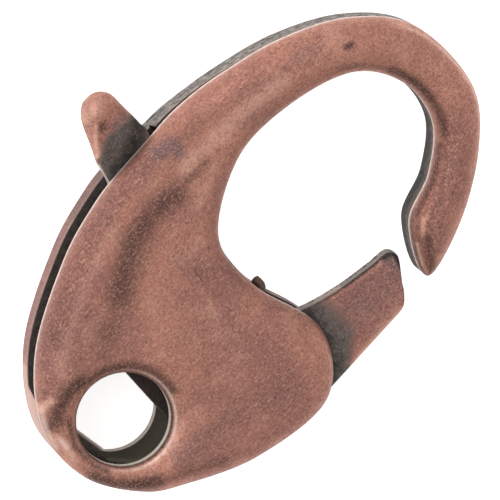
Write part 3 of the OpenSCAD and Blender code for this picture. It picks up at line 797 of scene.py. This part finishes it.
# %% Hub and barrel
def turned_patches(centre, profile, turns=64):
    """A profile of (radius, z) points turned round an upright axis: radius times (cos, sin), and z."""
    angles = np.linspace(0, 2 * np.pi, turns, endpoint=False)
    profile = np.asarray(profile, float)
    ring = np.stack([np.cos(angles), np.sin(angles), 0 * angles], -1)
    points = profile[:, 0, None, None] * ring + profile[:, 1, None, None] * np.array([0, 0, 1])
    return points + np.array([*centre, 0])


PIVOT = at([35.9, -19.1])
HUB_R, BARREL_R, BORE_R = 0.85, 0.6, 0.39
BARREL_LOW, BARREL_TOP, CHAMFER, FILLET = -0.6, 0.93, 0.05, 0.04
hub_profile = [[BORE_R, BARREL_LOW], [BARREL_R - CHAMFER, BARREL_LOW], [BARREL_R, BARREL_LOW + CHAMFER],
               [BARREL_R, LEVER_LOW - FILLET], [BARREL_R + FILLET, LEVER_LOW],
               [HUB_R - CHAMFER, LEVER_LOW], [HUB_R, LEVER_LOW + CHAMFER],
               [HUB_R, LEVER_LOW + LEVER_T - CHAMFER], [HUB_R - CHAMFER, LEVER_LOW + LEVER_T],
               [BARREL_R + FILLET, LEVER_LOW + LEVER_T], [BARREL_R, LEVER_LOW + LEVER_T + FILLET],
               [BARREL_R, BARREL_TOP - CHAMFER], [BARREL_R - CHAMFER, BARREL_TOP],
               [BORE_R, BARREL_TOP], [BORE_R, BARREL_LOW]]
hub = make_piece("lever_hub", [(turned_patches(PIVOT, hub_profile), {}, False, True)], "lever")

# %% [markdown]
# ## The spring
# The spring is one wire: a short bent end hooked over the throat's rim, a coil round the barrel, and
# a leg beside the lever's arm. A ring is carried along the wire's path, and turned as little as
# possible from point to point so that the wire doesn't twist. A bevelled curve would do the same, but
# its ends and its size in bends are easier to hold here.

# %% Spring path
WIRE_D, WIRE_GAP, COIL_GAP, FLOOR_Z = 0.22, 0.03, 0.005, -0.65
COIL_END_ANGLE, WIRE_BEND = -540, 0.14
COIL_R = BARREL_R + WIRE_GAP + WIRE_D / 2
COIL_LOW = FLOOR_Z + WIRE_GAP + WIRE_D / 2
COIL_PITCH = WIRE_D + COIL_GAP
HOOK_Z = WIRE_GAP + WIRE_D / 2 - LOW_RIM
hook_corner, hook_tip = at([46.75, -8.6]), at([46.75, -4.9])
rise_at = at([41.9, -8.6])
# The wire meets the coil along a tangent.
to_rise = rise_at - PIVOT
tangent_angle = np.degrees(np.arccos(COIL_R / np.linalg.norm(to_rise)))
coil_from = np.degrees(np.arctan2(to_rise[1], to_rise[0])) - tangent_angle
coil_angles = np.linspace(coil_from, COIL_END_ANGLE, 160)
turn = np.radians(coil_angles)
coil = np.stack([PIVOT[0] + COIL_R * np.cos(turn), PIVOT[1] + COIL_R * np.sin(turn),
                 COIL_LOW + COIL_PITCH * (coil_from - coil_angles) / 360], -1)
leg_y = at([30.4, 8.0])[1]


def corner(a, b, c, radius, count=10):
    """A bend from a towards c that rounds the corner at b: the parabola that leaves both straights
    at the given distance from b."""
    a, b, c = (np.asarray(p, float) for p in (a, b, c))
    p = b + radius * (a - b) / np.linalg.norm(a - b)
    q = b + radius * (c - b) / np.linalg.norm(c - b)
    t = np.linspace(0, 1, count)[:, None]
    return (1 - t) ** 2 * p + 2 * t * (1 - t) * b + t * t * q


tip, bend_one = [*hook_tip, HOOK_Z], [*hook_corner, HOOK_Z]
bend_two, leg_end = [*rise_at, HOOK_Z], [coil[-1, 0], leg_y, coil[-1, 2]]
leg_top = [coil[-1, 0], leg_y, LEVER_MID]
wire = np.vstack([tip, corner(tip, bend_one, bend_two, WIRE_BEND),
                  corner(bend_one, bend_two, coil[0], WIRE_BEND), coil,
                  corner(coil[-1], leg_end, leg_top, WIRE_BEND), leg_top])
print("the coil turns through", round(float(coil_from - COIL_END_ANGLE)), "degrees")

# %% Spring
def carried_normals(tangents, first):
    """Normals along a path, each one the last normal squared up to the new tangent."""
    normals = [first]
    for tangent in tangents:
        n = normals[-1] - (normals[-1] @ tangent) * tangent
        normals.append(n / np.linalg.norm(n))
    return np.array(normals[1:])


END_BULGE = 0.35


def wire_patches(path, radius, sides=20):
    """A round wire: at each path point, radius times cos of the normal plus sin of the cross normal. At
    the ends the ring shrinks with a sine while it moves out with the square of what is left."""
    tangents = np.gradient(path, axis=0)
    tangents /= np.linalg.norm(tangents, axis=1, keepdims=True)
    normals = carried_normals(tangents, np.array([0, 0, 1.0]))
    others = np.cross(tangents, normals)
    angles = np.linspace(0, 2 * np.pi, sides, endpoint=False)
    ring = np.cos(angles)[None, :, None] * normals[:, None] + np.sin(angles)[None, :, None] * others[:, None]
    tube = path[:, None] + radius * ring
    swell = np.sin(np.linspace(0, np.pi / 2, 6))[:-1, None, None]
    caps = [path[k] + radius * (swell * ring[k] + sign * END_BULGE * (1 - swell ** 2) * tangents[k])
            for k, sign in ((0, -1), (-1, 1))]
    return np.concatenate([caps[0], tube, caps[1][::-1]])


wire_skin = (wire_patches(wire, WIRE_D / 2), {}, False, True)
spring = make_piece("spring_wire", [wire_skin], "case", ("spring",))

# %% [markdown]
# ## Antiqued copper
# Antiqued copper is bright copper plate that was darkened with an oxide bath and then rubbed back.
# So high edges are bright and pink, partly as painted highlights, broad faces are a worn red-brown with
# plum clouds and fine specks, and hollows, joints and slots stay nearly black. The clouds and specks
# come from noise at several scales. Beside the painted marks, the meshes carry rim and lip for polished
# edges with a painted highlight, inside and groove for what stays in the bath, a mark for painted light
# on the inside near the eye, and a mark for the eye's sheared wall, brightened as a painted highlight.
# One material could serve every piece, but a copy each lets hidden pieces be darker.

# %% Material helper
class Nodes:
    """A short way to write a node tree: each call adds a node and returns its output."""

    def __init__(self, name):
        self.material = bpy.data.materials.new(name)
        self.material.use_nodes = True
        self.tree = self.material.node_tree
        self.shader = self.tree.nodes["Principled BSDF"]

    def node(self, kind, out=0, inputs=None, **settings):
        """A node with its settings, its inputs linked or filled in, and one of its outputs returned."""
        new = self.tree.nodes.new(kind)
        for key, value in settings.items():
            setattr(new, key, value)
        for key, value in (inputs or {}).items():
            if isinstance(value, bpy.types.NodeSocket):
                self.tree.links.new(value, new.inputs[key])
            else:
                new.inputs[key].default_value = value
        return new.outputs[out]

    def place(self):
        """Object coordinates in millimetres."""
        coordinates = self.node("ShaderNodeTexCoord", out="Object")
        return self.node("ShaderNodeVectorMath", operation="SCALE", inputs={0: coordinates, "Scale": 1000.0})

    def noise(self, where, scale, detail=3.0, rough=0.55, warp=0.0):
        """Fractal noise: scale is its clouds per millimetre."""
        return self.node("ShaderNodeTexNoise", inputs={"Vector": where, "Scale": scale, "Detail": detail,
                                                       "Roughness": rough, "Distortion": warp})

    def ramp(self, value, low, high, from_=0.0, to=1.0):
        """value from low..high mapped to from_..to, held at the ends."""
        return self.node("ShaderNodeMapRange", inputs={"Value": value, "From Min": low, "From Max": high,
                                                       "To Min": from_, "To Max": to})

    def maths(self, operation, a, b=0.0, clamp=False):
        """One operation on two values, held to 0..1 where clamp is set."""
        return self.node("ShaderNodeMath", operation=operation, use_clamp=clamp, inputs={0: a, 1: b})

    def mark(self, name):
        """The value of a vertex mark, and 0 on a piece that doesn't carry it."""
        return self.node("ShaderNodeAttribute", out="Fac", attribute_name=name)

    def blend(self, share, a, b):
        """Colour a where share is 0 and colour b where it is 1."""
        return self.node("ShaderNodeMix", out=2, inputs={0: share, 6: a, 7: b}, data_type="RGBA")

    def stroke(self, name, *noises):
        """A painted mark broken up by noise: the mark times 1 plus the noise's swing, for each noise."""
        mark = self.mark(name)
        for noise, amount in noises:
            ragged = self.maths("MULTIPLY", self.maths("SUBTRACT", noise, 0.5), amount)
            mark = self.maths("MULTIPLY", mark, self.maths("ADD", ragged, 1.0), clamp=True)
        return mark

    def finish(self, colour, rough, height, bump_mm):
        """Link the colour, the roughness and a bump of the given height to the shader."""
        self.tree.links.new(colour, self.shader.inputs["Base Color"])
        self.tree.links.new(rough, self.shader.inputs["Roughness"])
        bump = self.node("ShaderNodeBump", out="Normal",
                         inputs={"Height": height, "Strength": 1.0, "Distance": bump_mm * MM})
        self.tree.links.new(bump, self.shader.inputs["Normal"])
        return self.material


def colour(red, green, blue):
    """Linear colour from the usual 0-255 values."""
    c = np.array([red, green, blue]) / 255
    linear = np.where(c <= 0.04045, c / 12.92, ((c + 0.055) / 1.055) ** 2.4)
    return (*linear.tolist(), 1.0)


# %% Colours of the finish
# The glow and shine colours paint highlights, the sheared colour is the eye's bare wall brightened as a
# painted highlight, shade is painted shade and oxide, and the hollow colour is painted light inside the eye.
COPPER, BRIGHT, PLUM = colour(180, 124, 106), colour(222, 172, 150), colour(134, 90, 84)
OXIDE, SOOT = colour(74, 65, 60), colour(42, 36, 33)
DARK_TARNISH, PALE_TARNISH = colour(62, 58, 56), colour(168, 158, 150)
GREY_PLUM, SHADE, BATH = colour(118, 94, 95), colour(78, 50, 44), colour(106, 97, 92)
GLOW, SHINE, SHEARED_AND_LIT = colour(228, 178, 158), colour(254, 238, 228), colour(238, 230, 216)
LIT_HOLLOW, DEEP = colour(132, 124, 108), colour(34, 32, 30)
SCRATCH_SLANTS = ((0.7, 3.0), (-0.5, 11.0), (2.0, 23.0))
SCRATCH_STRETCH = (3.5, 34.0, 34.0)
BUMP_MM = 0.012
print("copper", np.round(COPPER[:3], 3), "and oxide", np.round(OXIDE[:3], 3))


# %% Antiqued copper
def antique_copper(name, darken=0.0):
    """Worn copper over oxide, as colours blended in turn: copper and its clouds, the painted marks of oxide,
    painted shade and painted highlight, grain and specks, scratches, tarnish and bath, and polished edges
    with a near white painted highlight last. darken is a share of oxide."""
    n = Nodes(name)
    where = n.place()
    warp = n.noise(where, 1.6, 4.0, 0.6, 0.4)
    broad = n.noise(where, 0.5, 3.0, 0.5, 0.6)
    grain = n.noise(where, 8.0, 5.0, 0.75)
    fine = n.noise(where, 19.0, 3.0, 0.7)
    specks = n.noise(where, 30.0, 1.0, 0.5)
    # Scratches are noise drawn out along a slant, at three slants.
    drags = []
    for angle, shift in SCRATCH_SLANTS:
        place = n.node("ShaderNodeMapping",
                       inputs={"Vector": where, "Rotation": (0.0, 0.0, angle),
                               "Scale": SCRATCH_STRETCH, "Location": (shift, shift, 0.0)})
        drags.append(n.noise(place, 1.0, 1.0, 0.5))
    scratches = n.maths("MAXIMUM", drags[0], n.maths("MAXIMUM", drags[1], drags[2]))
    # Copper, its clouds and the painted marks: plum and grey oxide, pinkish painted highlights, and painted
    # shade with oxide.
    face = n.blend(n.ramp(broad, 0.45, 0.68, 0.0, 0.7), COPPER, PLUM)
    face = n.blend(n.ramp(warp, 0.52, 0.75, 0.0, 0.35), face, BRIGHT)
    for mark, tint in (("plum", PLUM), ("grey", GREY_PLUM), ("glow", GLOW), ("dark", SHADE)):
        face = n.blend(n.stroke(mark, (warp, 0.9), (grain, 1.0)), face, tint)
    # Grain, specks and scratches.
    face = n.blend(n.ramp(grain, 0.42, 0.7, 0.0, 0.5), face, PLUM)
    face = n.blend(n.ramp(fine, 0.5, 0.3, 0.0, 0.4), face, BRIGHT)
    face = n.blend(n.ramp(fine, 0.54, 0.72, 0.0, 0.55), face, OXIDE)
    face = n.blend(n.ramp(specks, 0.64, 0.7, 0.0, 0.6), face, SOOT)
    face = n.blend(n.ramp(scratches, 0.7, 0.76, 0.0, 0.5), face, BRIGHT)
    if darken:
        face = n.blend(darken, face, OXIDE)
    # Tarnish, bath and the deep shade of what was never rubbed.
    patches = n.noise(where, 6.5, 5.0, 0.8)
    mottle = n.blend(n.ramp(patches, 0.4, 0.62), DARK_TARNISH, PALE_TARNISH)
    face = n.blend(n.mark("tarnish"), face, mottle)
    bathed = n.stroke("bath", (warp, 0.8), (grain, 1.0))
    bath = n.blend(n.ramp(patches, 0.62, 0.4, 0.0, 0.6), BATH, SOOT)
    bath = n.blend(n.ramp(fine, 0.56, 0.72, 0.0, 0.6), bath, PALE_TARNISH)
    face = n.blend(bathed, face, bath)
    # Tarnish and bath of what was never rubbed, and the deep mark's near black, which is oxide and painted
    # shade.
    face = n.blend(n.mark("deep"), face, n.blend(n.ramp(patches, 0.5, 0.68), DEEP, BATH))
    # Oxide is no metal, so it is less metallic and rougher than rubbed copper.
    tarnished = n.maths("MULTIPLY", n.mark("tarnish"), 0.6)
    dull = n.maths("MAXIMUM", n.maths("MAXIMUM", n.mark("deep"), tarnished),
                   n.maths("MAXIMUM", bathed, n.mark("inside")))
    n.tree.links.new(n.ramp(dull, 0.0, 1.0, 0.65, 0.2), n.shader.inputs["Metallic"])
    # The inside, with painted light near the eye, and then the polished edges and glints, painted as near
    # white highlights, and the sheared bore, brightened as a painted highlight, over all.
    oxide = n.blend(n.ramp(grain, 0.4, 0.65), SOOT, OXIDE)
    oxide = n.blend(n.mark("hollow"), oxide, LIT_HOLLOW)
    inside = n.maths("MAXIMUM", n.mark("inside"), n.mark("groove"))
    face = n.blend(inside, face, oxide)
    polish_and_highlight = n.maths("MAXIMUM", n.mark("rim"), n.mark("lip"))
    polish_and_highlight = n.maths("MULTIPLY", polish_and_highlight, n.ramp(grain, 0.4, 0.65, 1.0, 0.6), clamp=True)
    face = n.blend(n.maths("MAXIMUM", polish_and_highlight, n.stroke("pale", (grain, 0.8))), face, SHINE)
    face = n.blend(n.maths("MULTIPLY", n.mark("bore"), 0.9), face, SHEARED_AND_LIT)
    rough = n.maths("ADD", n.ramp(grain, 0.3, 0.7, 0.46, 0.62), n.maths("MULTIPLY", dull, 0.25))
    height = n.maths("ADD", n.maths("MULTIPLY", fine, -0.6), n.maths("MULTIPLY", scratches, 0.5))
    return n.finish(face, rough, height, BUMP_MM)


def dress(piece, material):
    """Give the piece one material in place of what it has."""
    piece.data.materials.clear()
    piece.data.materials.append(material)


dress(front, antique_copper("antique_copper_front"))
dress(rear, antique_copper("antique_copper_rear"))
dress(gate, antique_copper("antique_copper_gate"))
dress(arm, antique_copper("antique_copper_arm"))
dress(hub, antique_copper("antique_copper_hub", darken=0.5))
dress(spring, antique_copper("dark_wire", darken=0.8))
dress(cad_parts["pivot_pin"], antique_copper("pin_copper", darken=0.3))
print("dressed in:", sorted(material.name for material in bpy.data.materials))

# %% [markdown]
# ## The camera
# The camera looks down on the clasp, 16 degrees off upright, and is rolled so that the hook points up
# to the right. A long lens from 250 mm away keeps the small clasp's sides nearly parallel. Its axes
# are worked out from the tilt and the roll, because aiming it with a constraint sets no roll.

# %% Camera
TILT, ROLL = np.radians(16), np.radians(47.6)
FRAME_PX, PX_PER_MM = 500, 46.77
right = np.array([np.cos(ROLL), -np.cos(TILT) * np.sin(ROLL), np.sin(TILT) * np.sin(ROLL)])
up = np.array([np.sin(ROLL), np.cos(TILT) * np.cos(ROLL), -np.sin(TILT) * np.cos(ROLL)])
toward = np.cross(right, up)
FRAME_MM = FRAME_PX / PX_PER_MM
CAMERA_MM, SENSOR_MM = 250, 36
target = np.array([4.49, 0.323, 0.5])
camera_data = bpy.data.cameras.new("camera")
camera_data.lens = SENSOR_MM * CAMERA_MM / FRAME_MM
camera_data.sensor_width = SENSOR_MM
camera_data.clip_start, camera_data.clip_end = 0.01, 10
camera = bpy.data.objects.new("camera", camera_data)
bpy.context.scene.collection.objects.link(camera)
matrix = np.eye(4)
matrix[:3, 0], matrix[:3, 1], matrix[:3, 2] = right, up, toward
matrix[:3, 3] = (target + CAMERA_MM * toward) * MM
camera.matrix_world = Matrix(matrix.tolist())
bpy.context.scene.camera = camera
bpy.context.scene.view_settings.view_transform = "Standard"
print("the frame is", round(FRAME_MM, 2), "mm wide at the clasp")

# %% [markdown]
# ## Floor and light
# A pale paper floor lies just under the rear shell. It glows only where the camera or a reflection
# sees it, so it looks white and throws no more light on the metal. Two soft square lamps give the
# shells' long highlights, and an even white world fills the shadows.

# %% Floor
FLOOR_MM, FLOOR_Z_MM = 200, -1.01
floor_grid = np.zeros((2, 2, 3))
floor_ends = [-FLOOR_MM, FLOOR_MM]
floor_grid[..., 0], floor_grid[..., 1] = np.meshgrid(floor_ends, floor_ends, indexing="ij")
floor_grid[..., 2] = FLOOR_Z_MM
floor_mesh = bpy.data.meshes.new("floor")
floor_mesh.from_pydata((floor_grid.reshape(-1, 3) * MM).tolist(), [], [[0, 2, 3, 1]])
floor = bpy.data.objects.new("floor", floor_mesh)
bpy.context.scene.collection.objects.link(floor)

paper = Nodes("pale_paper")
paper.shader.inputs["Base Color"].default_value = (0.85, 0.85, 0.85, 1.0)
paper.shader.inputs["Roughness"].default_value = 0.9
paper.shader.inputs["Emission Color"].default_value = (1.0, 1.0, 1.0, 1.0)
path = paper.tree.nodes.new("ShaderNodeLightPath").outputs
mirrored = paper.maths("MAXIMUM", path["Is Glossy Ray"], path["Is Transmission Ray"])
seen = paper.maths("MAXIMUM", path["Is Camera Ray"], mirrored)
paper.tree.links.new(paper.maths("MULTIPLY", seen, 0.75), paper.shader.inputs["Emission Strength"])
dress(floor, paper.material)
print("floor at", FLOOR_Z_MM, "mm")

# %% Light
world = bpy.data.worlds.new("studio")
world.use_nodes = True
bpy.context.scene.world = world
backdrop = world.node_tree.nodes["Background"]
backdrop.inputs["Color"].default_value = (1.0, 1.0, 1.0, 1.0)
backdrop.inputs["Strength"].default_value = 0.65


def softbox(name, direction, distance_mm, size_mm, power):
    """A square area lamp facing the clasp, at the target plus its distance times the unit direction."""
    lamp = bpy.data.lights.new(name, "AREA")
    lamp.shape, lamp.size, lamp.energy = "SQUARE", size_mm * MM, power
    lamp_object = bpy.data.objects.new(name, lamp)
    bpy.context.scene.collection.objects.link(lamp_object)
    z = np.asarray(direction, float) / np.linalg.norm(direction)
    x = np.cross([0, 1, 0.1], z)
    x /= np.linalg.norm(x)
    matrix = np.eye(4)
    matrix[:3, 0], matrix[:3, 1], matrix[:3, 2] = x, np.cross(z, x), z
    matrix[:3, 3] = (target + distance_mm * z) * MM
    lamp_object.matrix_world = Matrix(matrix.tolist())


softbox("key", (-0.15, 0.75, 0.8), 200, 220, 0.25)
softbox("fill", (0.6, -0.5, 0.9), 240, 200, 0.06)
print("lamps:", [lamp.name for lamp in bpy.data.lights])
